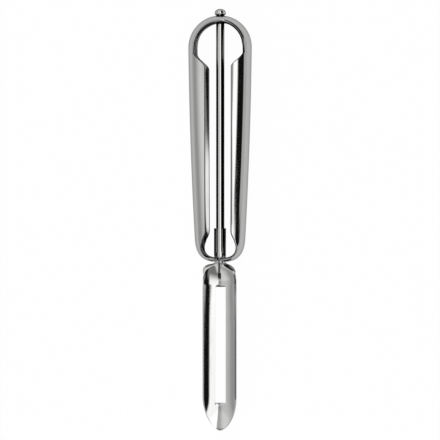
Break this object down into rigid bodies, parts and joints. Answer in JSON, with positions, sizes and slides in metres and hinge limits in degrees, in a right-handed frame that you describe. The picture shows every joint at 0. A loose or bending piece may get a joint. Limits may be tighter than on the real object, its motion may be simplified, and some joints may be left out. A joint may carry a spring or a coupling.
{
  "type": "swivel peeler",
  "caption": "All-metal swivel peeler: a looped sheet-steel handle with rolled sides, a round rod down its middle, and a slotted trough blade that turns on the rod.",
  "frame": {"origin": "middle of the object's length and width, on the surface that the handle's back rests on", "axes": "+Y along the rod towards its head, +Z from the back to the open front, +X to the right as seen from the front"},
  "size_m": [0.0256, 0.1688, 0.0118],
  "materials": {
    "handle_steel": "bright polished stainless sheet",
    "rod_steel": "bright drawn wire",
    "blade_steel": "bright polished stainless sheet with ground slot edges"
  },
  "bodies": {
    "handle": {"handle": "handle_steel"},
    "swivel": {"swivel_rod": "rod_steel", "blade": "blade_steel"}
  },
  "joints": [
    {"name": "blade_swivel", "type": "hinge", "parent": "handle", "child": "swivel", "pos_m": [0, 0, 0.00584], "axis": [0, 1, 0], "continuous": true}
  ]
}
